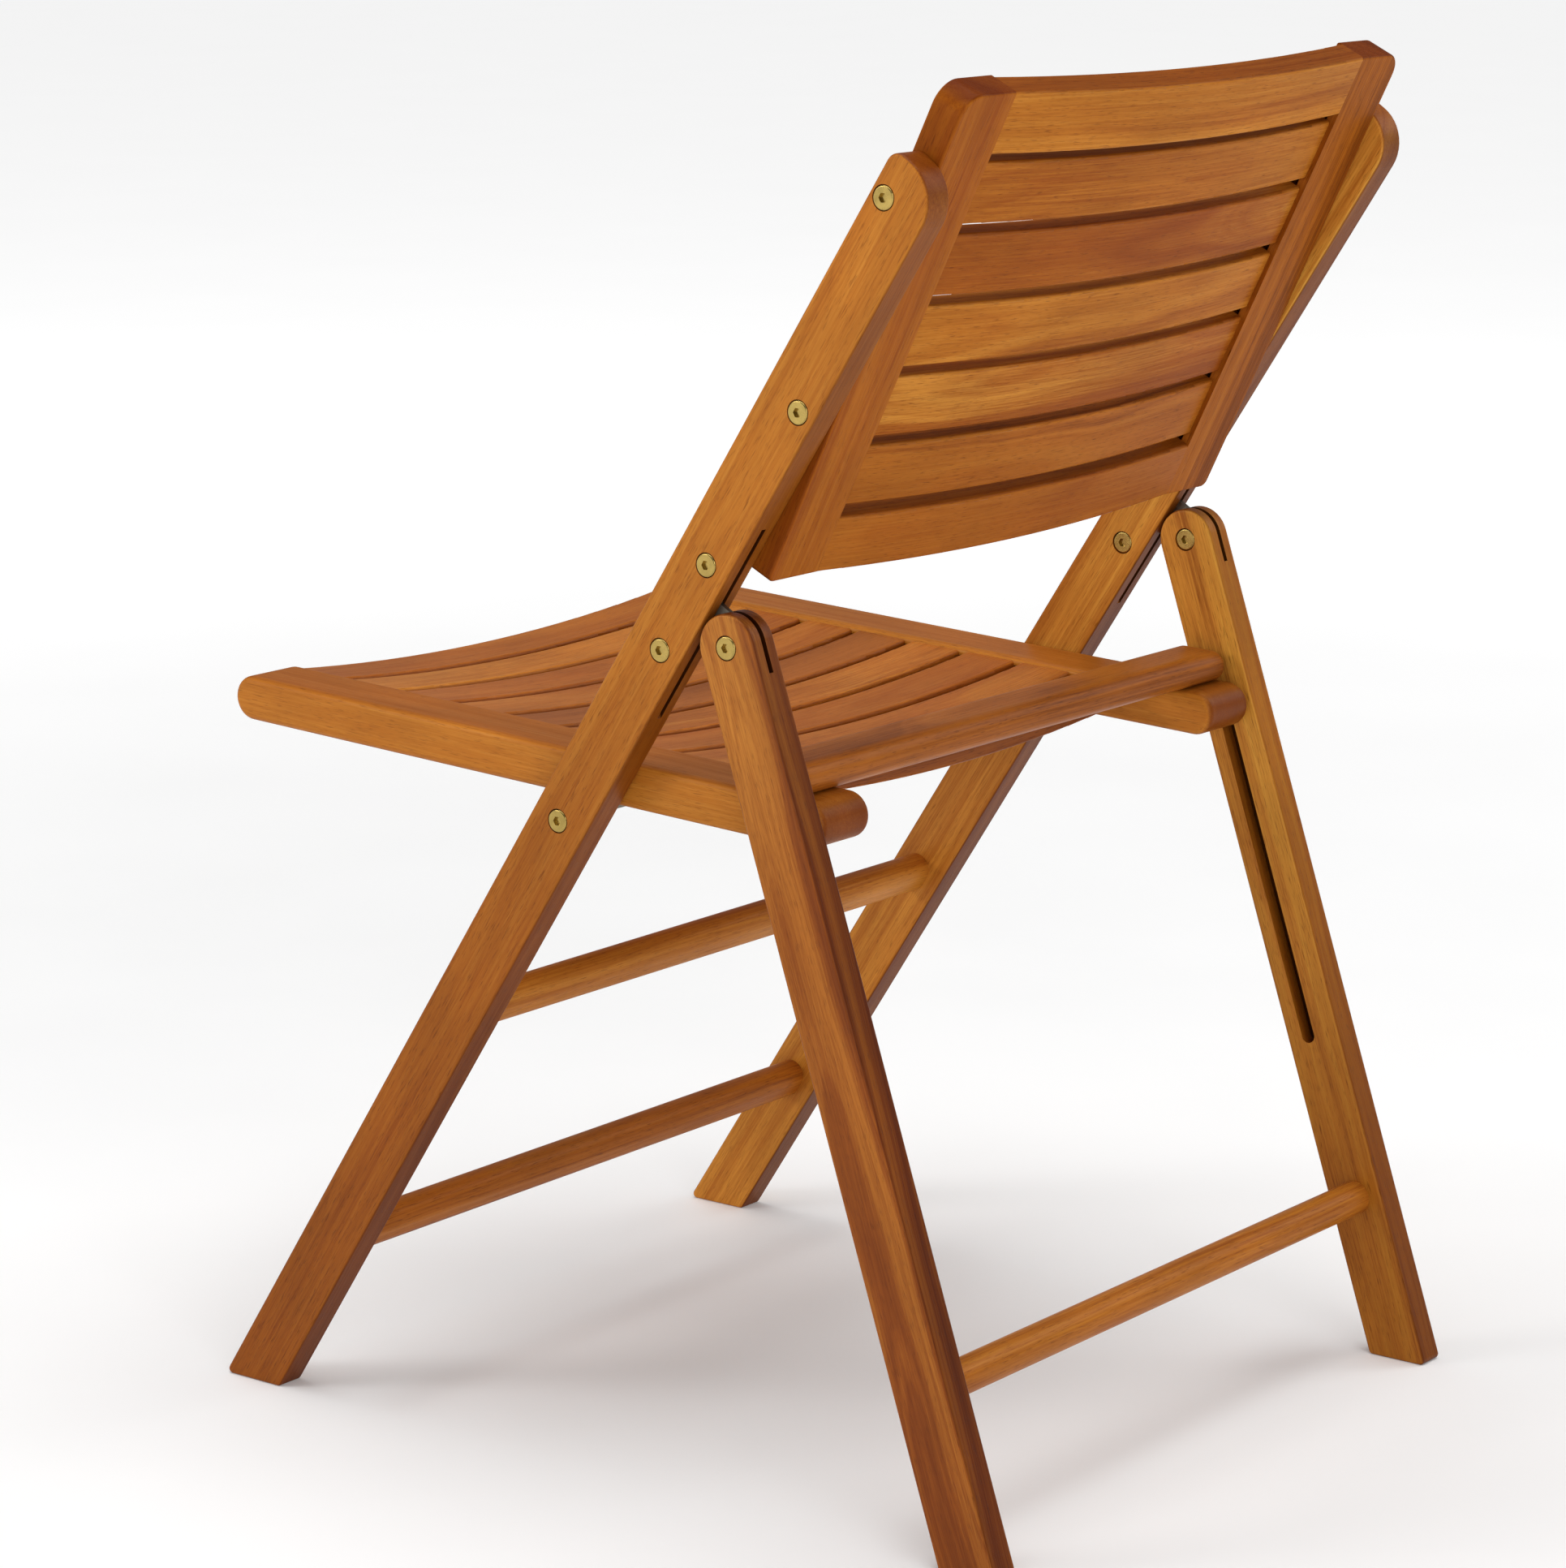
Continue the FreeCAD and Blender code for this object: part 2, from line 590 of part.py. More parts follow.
def seat_slat(index):
    label = "seat_slat_%d" % index
    b = bowed(label, D["rail_inner"], D["slat_thick"], D["slat_dish"], D["slat_wide"],
              D["tenon_thick"], (D["slat_thick"] - D["tenon_thick"]) / 2.0, 1)
    w = D["slat_wide"].v / 2.0
    fillet(b, long_arc((-w, w), -D["slat_dish"].v - 1, 1), 2.5, "ease")
    fillet(b, long_arc((-w, w), -60, -D["slat_dish"].v - 5), 1.5, "ease_low")
    # the tenons are 10 mm narrower than the slat
    half = D["rail_inner"]
    for k, sx in enumerate((-1.0, 1.0)):
        for j, sy in enumerate((-1.0, 1.0)):
            a0, a1 = half * sx, (half + D["tenon_long"] + 2.0) * sx
            c0, c1 = (D["slat_wide"] / 2.0 - 5.0) * sy, (D["slat_wide"] / 2.0 + 2.0) * sy
            s = outline(sketch(b, "shoulder_%d%d" % (k, j), "XY_Plane", 1.0), [
                ((a0, c0), "line"), ((a1, c0), "line"), ((a1, c1), "line"), ((a0, c1), "line")])
            pocket(b, s, D["slat_thick"] + 4.0, "shoulder_cut_%d%d" % (k, j))
    seat_place(b, 0.0, D["slat_first"] + D["slat_pitch"] * float(index - 1), RH - D["slat_drop"])
    keep(label, b)


for i in range(1, int(D["slat_count"].v) + 1):
    seat_slat(i)

# loose-ended flat oval bar across the top of the rails
b = body("seat_crossbar")
s = D["crossbar_high"] / 2.0
f = (D["crossbar_wide"] - D["crossbar_high"]) / 2.0
sk = outline(sketch(b, "section", "YZ_Plane"), [
    ((-f, -s), "line"), ((f, -s), "round", (f + s, 0), ("x", f)),
    ((f, s), "line"), ((-f, s), "round", (-f - s, 0), ("x", -f))])
pad(b, sk, D["crossbar_half"] * 2.0, mid=True)
fillet(b, side_edges(-D["crossbar_half"].v, D["crossbar_half"].v), 6.0, "ends")
rc = D["rail_inner"] + D["rail_wide"] / 2.0
sp = circles(sketch(b, "pilots", "XY_Plane", -s), [(rc, 0, 3.6), (-rc, 0, 3.6)])
pocket(b, sp, 13.0, "pilot", back=True)
seat_place(b, 0.0, D["crossbar_back"], RH + s)
keep("seat_crossbar", b)


def bracket(label, left):
    """Bent steel angle: flat flange under the rail, round ear beside the post."""
    b = body(label)
    t = D["bracket_thick"]
    r = D["bracket_round"]
    e = D["ear_round"]
    outer = D["rail_inner"] + D["rail_wide"]
    drop = D["seat_pivot_drop"]
    sk = outline(sketch(b, "ear", "YZ_Plane"), [
        ((-r, -RH), "line"), ((-e, -drop), "round", (0, -drop - e), ("y", -drop)),
        ((e, -drop), "line"), ((r, -RH), "line")])
    pad(b, sk, t)
    s2 = circles(sketch(b, "pivot", "YZ_Plane", t + 1.0), [(0, -drop, D["shank_size"] + 0.2)])
    pocket(b, s2, t + 2.0, "pivot_hole")
    wide = outer - D["bracket_inner"]
    x0, x1 = (t - wide, t) if left else (0, wide)
    s3 = outline(sketch(b, "flange", "XY_Plane", -RH), [
        ((x0, -r), "line"), ((x1, -r), "line"), ((x1, r), "line"), ((x0, r), "line")])
    pad(b, s3, t, "flange_pad", back=True)
    cx = (t - wide + 12.0) if left else (wide - 12.0)
    s4 = circles(sketch(b, "screw_holes", "XY_Plane", -RH + 1.0), [(cx, -14.0, 4.2), (cx, 14.0, 4.2)])
    pocket(b, s4, t + 2.0, "screw_cut")
    seat_place(b, outer - t if left else -outer, D["seat_pivot_back"])
    keep(label, b)


bracket("seat_pivot_bracket_left", True)
bracket("seat_pivot_bracket_right", False)


# ----------------------------------------------------------------- back panel
def stile(label, left):
    b = body(label)
    w, t, l = D["stile_wide"], D["stile_thick"], D["panel_long"]
    sk = outline(sketch(b, "face", "XZ_Plane"), [
        ((0, 0), "line"), ((w, 0), "line"), ((w, l), "line"), ((0, l), "line")])
    pad(b, sk, t)        # local y from -t (front) to 0 (rear)
    ox = w.v if left else 0.0

    def corner(z):
        def pick(e):
            return all(near(p.x, ox, 0.1) and near(p.z, z, 0.1) for p in ends_of(e)) and e.Length > 5
        return pick
    fillet(b, corner(l.v), D["stile_corner"], "corner")
    fillet(b, corner(0.0), 5.0, "low_corner")

    def rim(e):
        bb = e.BoundBox
        flat = (near(bb.YMin, 0, 0.01) and near(bb.YMax, 0, 0.01)) or \
               (near(bb.YMin, -t.v, 0.01) and near(bb.YMax, -t.v, 0.01))
        # the inner long edges stay sharp, where the rails meet the stile
        inner_x = 0.0 if left else w.v
        return flat and not (near(bb.XMin, inner_x, 0.01) and near(bb.XMax, inner_x, 0.01))
    fillet(b, rim, D["ease"], "ease")
    # groove for the tenons of the slats and rails, in the inner edge
    inner = Q.of(0) if left else w
    y_top = -(D["panel_slat_inset"] + (D["panel_slat_thick"] - D["tenon_thick"]) / 2.0 - 0.1)
    s2 = outline(sketch(b, "groove", "YZ_Plane", inner), [
        ((y_top - D["tenon_thick"] - 0.2, 5.8), "line"), ((y_top, 5.8), "line"),
        ((y_top, l - 5.8), "line"), ((y_top - D["tenon_thick"] - 0.2, l - 5.8), "line")])
    pocket(b, s2, D["tenon_long"] + 0.5, "groove_cut", back=left)
    # blind holes for the two bolts from the post
    holes = []
    for al, be in (("back_bolt_upper_along", "back_bolt_upper_behind"),
                   ("back_bolt_lower_along", "back_bolt_lower_behind")):
        yy, zz = post_point(D[al], D[be])
        dy, dz = yy + D["mid_depth"] - D["panel_y"], zz - D["panel_z"]
        holes.append((dy * qcos(D["panel_lean"]) - dz * qsin(D["panel_lean"]),
                      dy * qsin(D["panel_lean"]) + dz * qcos(D["panel_lean"]), D["shank_size"] + 0.2))
    outer = w if left else Q.of(0)
    s3 = circles(sketch(b, "bolt_holes", "YZ_Plane", outer), holes)
    pocket(b, s3, 30.0, "bolt_hole", back=not left)
    panel_place(b, post_in - w if left else -post_in)
    keep(label, b)


stile("back_stile_left", True)
stile("back_stile_right", False)

stile_in = post_in - D["stile_wide"]


def back_board(label, up, wide, thick, inset, tenon_narrow):
    """A board bowed to the rear between the stiles: the seat's curve turned upright."""
    b = body(label)
    half = stile_in
    sag = D["panel_bow"]
    radius = (half * half + sag * sag) / (sag * 2.0)
    tl = D["tenon_long"]
    tn = D["tenon_thick"]
    # local y: 0 at the stile's rear face, negative to the front
    rear = -Q.of(inset)
    front = rear - thick
    tr = -(D["panel_slat_inset"] + (D["panel_slat_thick"] - D["tenon_thick"]) / 2.0)
    tf = tr - tn
    h = half
    sk = outline(sketch(b, "curve", "XY_Plane"), [
        ((h, front), "line"), ((h, tf), "line"), ((h + tl, tf), "line"), ((h + tl, tr), "line"),
        ((h, tr), "line"), ((h, rear), "arc", (0, rear + sag), radius),
        ((-h, rear), "line"), ((-h, tr), "line"), ((-h - tl, tr), "line"), ((-h - tl, tf), "line"),
        ((-h, tf), "line"), ((-h, front), "arc", (0, front + sag), radius)])
    pad(b, sk, wide, mid=True)
    wz = Q.of(wide).v / 2.0

    def rims(zs, rad, name):
        def pick(e):
            bb = e.BoundBox
            return bb.XLength > 200 and any(near(bb.ZMin, z, 0.02) and near(bb.ZMax, z, 0.02) for z in zs)
        fillet(b, pick, rad, name)
    rims((wz, -wz), 2.0, "ease")
    for k, sx in enumerate((-1.0, 1.0)):
        for j, sz in enumerate((-1.0, 1.0)):
            a0, a1 = half * sx, (half + tl + 2.0) * sx
            c0, c1 = (wide / 2.0 - tenon_narrow) * sz, (wide / 2.0 + 2.0) * sz
            s = outline(sketch(b, "shoulder_%d%d" % (k, j), "XZ_Plane", -2.0), [
                ((a0, c0), "line"), ((a1, c0), "line"), ((a1, c1), "line"), ((a0, c1), "line")])
            pocket(b, s, 26.0, "shoulder_cut_%d%d" % (k, j), back=True)
    panel_place(b, 0.0, 0.0, up)
    keep(label, b)


back_board("back_bottom_rail", D["bottom_rail_wide"] / 2.0, D["bottom_rail_wide"], D["panel_rail_thick"], 0.0, 7.0)
step = D["panel_slat_wide"] + D["panel_gap"]
for i in range(1, 6):
    # slat 1 is the top one
    up = D["bottom_rail_wide"] + D["panel_gap"] + D["panel_slat_wide"] / 2.0 + step * float(5 - i)
    back_board("back_slat_%d" % i, up, D["panel_slat_wide"], D["panel_slat_thick"], D["panel_slat_inset"], 5.0)
back_board("back_top_rail", D["panel_long"] - D["top_rail_wide"] / 2.0, D["top_rail_wide"], D["panel_rail_thick"], 0.0, 7.0)


# ------------------------------------------------------------------ fasteners
def number(alias):
    return float(getattr(sheet, alias))


def head(x_face, y, z, side, low):
    """Low furniture bolt head with a hex socket. low is its seat, side its way out."""
    r = number("head_size") / 2.0
    high = number("head_high")
    solid = Part.makeCylinder(r, high, V(low, y, z), V(side, 0, 0))
    rim = [e for e in solid.Edges if e.BoundBox.XLength < 1e-6 and abs(e.BoundBox.XMin - (low + side * high)) < 1e-6]
    solid = solid.makeFillet(0.9, rim)
    n = number("socket_size") / math.sqrt(3.0)
    ring = [V(low + side * (high + 0.1), y + n * math.cos(math.radians(60 * k)), z + n * math.sin(math.radians(60 * k)))
            for k in range(7)]
    hexa = Part.Face(Part.makePolygon(ring)).extrude(V(-side * (number("socket_deep") + 0.1), 0, 0))
    return solid.cut(hexa)


def spot(along, behind):
    a, b_ = number(along), number(behind)
    t = math.radians(number("post_lean"))
    return (a * math.sin(t) + b_ * math.cos(t) - number("mid_depth"),
            a * math.cos(t) - b_ * math.sin(t))


HW = number("half_width")
TH = number("post_thick")
BD = number("bore_deep")
SR = number("shank_size") / 2.0


def group(label, solids):
    o = doc.addObject("Part::Feature", label)
    o.Label = label
    o.Shape = Part.makeCompound(solids)
    o.Placement = FreeCAD.Placement()
    keep(label, o)


B1, B2 = spot("back_bolt_upper_along", "back_bolt_upper_behind"), spot("back_bolt_lower_along", "back_bolt_lower_behind")
B3, B4 = spot("plate_upper_along", "plate_upper_behind"), spot("plate_lower_along", "plate_lower_behind")
HP = spot("pivot_along", "pivot_behind")
st = math.radians(number("seat_tilt"))
BP = (number("seat_front") - number("mid_depth") + number("seat_pivot_back") * math.cos(st) - number("seat_pivot_drop") * math.sin(st),
      number("seat_rise") - number("seat_pivot_back") * math.sin(st) - number("seat_pivot_drop") * math.cos(st))


def bolt(y, z, side, length):
    low = side * (HW - BD)
    h = head(None, y, z, side, low)
    shank = Part.makeCylinder(SR, length, V(low, y, z), V(-side, 0, 0))
    return h.fuse(shank).removeSplitter()


def sleeve_nut(y, z, side):
    """Barrel nut with its own low head, on the inner face."""
    low = side * (HW - TH + BD + 0.6 - 0.0)
    h = head(None, y, z, -side, low)
    r = number("sleeve_size") / 2.0
    barrel = Part.makeCylinder(r, 11.0, V(low, y, z), V(side, 0, 0))
    bore = Part.makeCylinder(SR, 10.0, V(low + side * 2.0, y, z), V(side, 0, 0))
    return h.fuse(barrel).removeSplitter().cut(bore)


group("back_bolts", [bolt(p[0], p[1], s_, number("back_bolt_long") - 2.0) for p in (B1, B2) for s_ in (1, -1)])
group("hinge_plate_bolts", [bolt(p[0], p[1], s_, 11.5) for p in (B3, B4) for s_ in (1, -1)])
group("hinge_plate_sleeve_nuts", [sleeve_nut(p[0], p[1], s_) for p in (B3, B4) for s_ in (1, -1)])
group("leg_pivot_bolts", [bolt(HP[0], HP[1], s_, 11.5) for s_ in (1, -1)])
group("leg_pivot_sleeve_nuts", [sleeve_nut(HP[0], HP[1], s_) for s_ in (1, -1)])
group("seat_pivot_bolts", [bolt(BP[0], BP[1], s_, 29.5) for s_ in (1, -1)])

RO = number("rail_inner") + number("rail_wide")
BT = number("bracket_thick")


def washer(x0, thick, y, z, r_out, r_in, side):
    a = Part.makeCylinder(r_out, thick, V(side * x0, y, z), V(side, 0, 0))
    return a.cut(Part.makeCylinder(r_in, thick + 2, V(side * (x0 - 1), y, z), V(side, 0, 0)))


group("seat_pivot_washers", [washer(RO + 0.2, HW - TH - RO - 0.2, BP[0], BP[1], 7.0, SR + 0.1, s_) for s_ in (1, -1)])


def nut(x1, y, z, side):
    """Hex lock nut, its face at x1 towards the bracket."""
    n = 5.0 / math.cos(math.radians(30))
    ring = [V(side * x1, y + n * math.cos(math.radians(60 * k)), z + n * math.sin(math.radians(60 * k))) for k in range(7)]
    solid = Part.Face(Part.makePolygon(ring)).extrude(V(-side * 6.0, 0, 0))
    return solid.cut(Part.makeCylinder(SR, 8.0, V(side * (x1 + 1), y, z), V(-side, 0, 0)))


group("seat_pivot_nuts", [nut(RO - BT - 0.2, BP[0], BP[1], s_) for s_ in (1, -1)])


def seat_spot(back, up):
    return (number("seat_front") - number("mid_depth") + back * math.cos(st) + up * math.sin(st),
            number("seat_rise") - back * math.sin(st) + up * math.cos(st))


def wood_screw(x, back, up, length, head_r, size):
    """Countersunk screw pointing up into the wood, in the seat's own frame."""
    y, z = seat_spot(back, up)
    axis = V(0, math.sin(st), math.cos(st))
    p = V(x, y, z)
    cone = Part.makeCone(head_r, size, 2.2, p, axis)
    shank = Part.makeCylinder(size, length - 3.0, p, axis)
    tip = Part.makeCone(size, 0.3, 3.0, p + axis * (length - 3.0), axis)
    solid = cone.fuse(shank).fuse(tip).removeSplitter()
    cross = Part.makeBox(4.0, 0.9, 1.2, V(-2.0, -0.45, -0.2)).fuse(Part.makeBox(0.9, 4.0, 1.2, V(-0.45, -2.0, -0.2)))
    cross.Placement = FreeCAD.Placement(p, FreeCAD.Rotation(V(1, 0, 0), -number("seat_tilt")))
    return solid.cut(cross)


rh = number("rail_high") / 2.0
rcx = number("rail_inner") + number("rail_wide") / 2.0
group("crossbar_screws", [wood_screw(s_ * rcx, number("crossbar_back"), -rh + 4.0, 34.0, 4.2, 1.8) for s_ in (1, -1)])
bx = number("bracket_inner") + 12.0
group("bracket_screws", [wood_screw(s_ * bx, number("seat_pivot_back") + o_, -rh - BT - 2.2, 18.0, 4.0, 1.75)
                         for s_ in (1, -1) for o_ in (-14.0, 14.0)])


# ----------------------------------------------------------------- guide pins
def guide_pin(label, side):
    b = body(label)
    s1 = circles(sketch(b, "section", "YZ_Plane"), [(0, 0, D["pin_size"])])
    pad(b, s1, D["pin_reach"])
    x_end = D["pin_reach"].v if side > 0 else 0.0
    fillet(b, lambda e: near(e.BoundBox.XMin, x_end, 0.01) and near(e.BoundBox.XMax, x_end, 0.01), 1.0, "ease")
    y = hinge_y + D["pin_start"] * qsin(L) - D["groove_offset"] * qcos(L)
    z = hinge_z - D["pin_start"] * qcos(L) - D["groove_offset"] * qsin(L)
    x0 = D["rail_inner"] + D["rail_wide"] + 0.3
    place(b, x0 if side > 0 else -x0 - D["pin_reach"], y, z, L)
    keep(label, b)


guide_pin("guide_pin_left", 1)
guide_pin("guide_pin_right", -1)

# ---------------------------------------------------------------- final checks
doc.recompute()
for o in doc.Objects:
    if "Invalid" in o.State or "Error" in o.State:
        problems.append("%s is %s" % (o.Label, o.State))
for label, o in parts:
    if o.Shape.isNull() or not o.Shape.isValid():
        problems.append("%s has no valid shape" % label)
    elif not label.endswith(("bolts", "nuts", "washers", "screws")) and len(o.Shape.Solids) != 1:
        problems.append("%s has %d solids" % (label, len(o.Shape.Solids)))
    elif o.Shape.BoundBox.DiagonalLength > 1000:
        problems.append("%s is too large" % label)
if problems:
    raise RuntimeError("; ".join(problems))

os.makedirs("parts", exist_ok=True)
whole = None
for label, o in parts:
    o.Shape.exportStep("parts/%s.step" % label)
    bb = o.Shape.BoundBox
    if whole is None:
        whole = FreeCAD.BoundBox(bb)
    else:
        whole.add(bb)
print("parts", len(parts))
print("box x %.2f %.2f y %.2f %.2f z %.2f %.2f" % (whole.XMin, whole.XMax, whole.YMin, whole.YMax, whole.ZMin, whole.ZMax))
print("seat pivot y %.4f z %.4f, leg pivot y %.4f z %.4f" % (BP[0], BP[1], HP[0], HP[1]))
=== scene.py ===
import math

import bpy
from mathutils import Matrix, Vector

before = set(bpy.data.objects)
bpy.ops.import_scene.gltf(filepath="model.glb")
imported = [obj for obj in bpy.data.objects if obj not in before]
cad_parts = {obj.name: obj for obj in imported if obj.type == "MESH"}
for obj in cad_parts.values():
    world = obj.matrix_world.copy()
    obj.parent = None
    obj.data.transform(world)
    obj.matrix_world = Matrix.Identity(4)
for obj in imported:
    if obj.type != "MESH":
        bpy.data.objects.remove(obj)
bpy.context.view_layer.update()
scene = bpy.context.scene

# ------------------------------------------------------------------ camera
cam_data = bpy.data.cameras.new("camera")
cam = bpy.data.objects.new("camera", cam_data)
scene.collection.objects.link(cam)
yaw, pitch, roll = -2.2335370, -0.2137278, -0.0043707
fwd = Vector((math.cos(pitch) * math.sin(yaw), math.cos(pitch) * math.cos(yaw), math.sin(pitch)))
right = Vector((math.cos(yaw), -math.sin(yaw), 0.0))
up = right.cross(fwd)
r_ = right * math.cos(roll) + up * math.sin(roll)
u_ = up * math.cos(roll) - right * math.sin(roll)
rot = Matrix((r_, u_, -fwd)).transposed().to_4x4()
cam.matrix_world = Matrix.Translation((2.230176, 1.701045, 0.980721)) @ rot
cam_data.sensor_fit = "HORIZONTAL"
cam_data.sensor_width = 36.0
cam_data.lens = 5811.056 / 1930.0 * 36.0
cam_data.clip_end = 400.0
scene.camera = cam
scene.view_settings.view_transform = "Standard"
scene.view_settings.look = "None"
scene.view_settings.exposure = 0.0


# ------------------------------------------------------------- node helpers
class Nodes:
    def __init__(self, tree):
        self.t = tree

    def new(self, kind, **props):
        n = self.t.nodes.new(kind)
        for k, v in props.items():
            setattr(n, k, v)
        return n

    def link(self, a, b):
        self.t.links.new(a, b)

    def put(self, socket, value):
        if hasattr(value, "is_output"):
            self.link(value, socket)
        else:
            socket.default_value = value

    def math(self, op, a, b=0.0, c=None, clamp=False):
        n = self.new("ShaderNodeMath", operation=op, use_clamp=clamp)
        self.put(n.inputs[0], a)
        self.put(n.inputs[1], b)
        if c is not None:
            self.put(n.inputs[2], c)
        return n.outputs[0]

    def vec(self, x, y, z):
        n = self.new("ShaderNodeCombineXYZ")
        for i, v in enumerate((x, y, z)):
            self.put(n.inputs[i], v)
        return n.outputs[0]

    def vmath(self, op, a, b=(0.0, 0.0, 0.0)):
        n = self.new("ShaderNodeVectorMath", operation=op)
        self.put(n.inputs[0], a)
        self.put(n.inputs[1], b)
        return n.outputs["Value"] if op in ("LENGTH", "DOT_PRODUCT", "DISTANCE") else n.outputs[0]

    def noise(self, vector, scale=1.0, detail=2.0, rough=0.5, distortion=0.0):
        n = self.new("ShaderNodeTexNoise")
        self.link(vector, n.inputs["Vector"])
        n.inputs["Scale"].default_value = scale
        n.inputs["Detail"].default_value = detail
        n.inputs["Roughness"].default_value = rough
        n.inputs["Distortion"].default_value = distortion
        return n

    def remap(self, value, a, b, c=0.0, d=1.0, smooth=False):
        n = self.new("ShaderNodeMapRange", interpolation_type="SMOOTHSTEP" if smooth else "LINEAR")
        self.put(n.inputs[0], value)
        for i, v in enumerate((a, b, c, d)):
            self.put(n.inputs[1 + i], v)
        return n.outputs[0]

    def ramp(self, value, stops):
        n = self.new("ShaderNodeValToRGB")
        self.link(value, n.inputs[0])
        e = n.color_ramp.elements
        while len(e) < len(stops):
            e.new(0.5)
        for i, (pos, col) in enumerate(stops):
            e[i].position = pos
            e[i].color = (*col, 1.0)
        return n.outputs[0]

    def mix(self, fac, a, b, kind="MIX"):
        n = self.new("ShaderNodeMix", data_type="RGBA", blend_type=kind)
        self.put(n.inputs[0], fac)
        for i, v in ((6, a), (7, b)):
            self.put(n.inputs[i], v if hasattr(v, "is_output") else (*v, 1.0))
        return n.outputs[2]


def srgb(r, g, b):
    def one(c):
        c /= 255.0
        return c / 12.92 if c <= 0.04045 else ((c + 0.055) / 1.055) ** 2.4
    return (one(r), one(g), one(b))


def scaled(c, k):
    return tuple(min(1.0, x * k) for x in c)


# ------------------------------------------------------- the pieces' own axes
MID = 0.29562
H_Y, H_Z = 0.1081412, 0.5038451
AXES = {
    "post": ((0.0, -MID, 0.0), -33.5),
    "leg": ((0.0, H_Y, H_Z), 18.24),
    "seat": ((0.0, 0.0172 - MID, 0.4265), -2.94),
    "panel": ((0.0, 0.418 - MID, 0.5387), -26.4),
}


def grain_axes(N, where, layout):
    """u along the grain, v across the face, w through the thickness, in metres."""
    origin, angle = AXES[where]
    tc = N.new("ShaderNodeTexCoord")
    ro = N.new("ShaderNodeVectorRotate", rotation_type="X_AXIS")
    N.link(tc.outputs["Object"], ro.inputs["Vector"])
    ro.inputs["Center"].default_value = origin
    ro.inputs["Angle"].default_value = math.radians(-angle)
    loc = N.vmath("SUBTRACT", ro.outputs[0], origin)
    sp = N.new("ShaderNodeSeparateXYZ")
    N.link(loc, sp.inputs[0])
    x, y, z = sp.outputs
    nr = N.new("ShaderNodeVectorRotate", rotation_type="X_AXIS")
    N.link(tc.outputs["Normal"], nr.inputs["Vector"])
    nr.inputs["Angle"].default_value = math.radians(-angle)
    ns = N.new("ShaderNodeSeparateXYZ")
    N.link(nr.outputs[0], ns.inputs[0])
    nx, ny, nz = (N.math("ABSOLUTE", o) for o in ns.outputs)
    if layout == "long":          # posts and legs
        return z, y, x, nz, ny
    if layout == "stile":
        return z, x, y, nz, nx
    if layout == "rail":          # seat rails run front to back
        return y, z, x, ny, nz
    if layout == "dish":          # seat slats sag in the middle
        k = N.math("MULTIPLY", N.math("POWER", N.math("DIVIDE", x, 0.174), 2.0), 0.0095)
        return x, y, N.math("ADD", N.math("SUBTRACT", z, k), 0.0095), nx, ny
    if layout == "bow":           # back slats and rails bow to the rear
        k = N.math("MULTIPLY", N.math("POWER", N.math("DIVIDE", x, 0.176), 2.0), 0.009)
        return x, z, N.math("SUBTRACT", N.math("ADD", y, k), 0.009), nx, nz
    return x, y, z, nx, N.math("MULTIPLY", ny, 0.0)      # "bar"


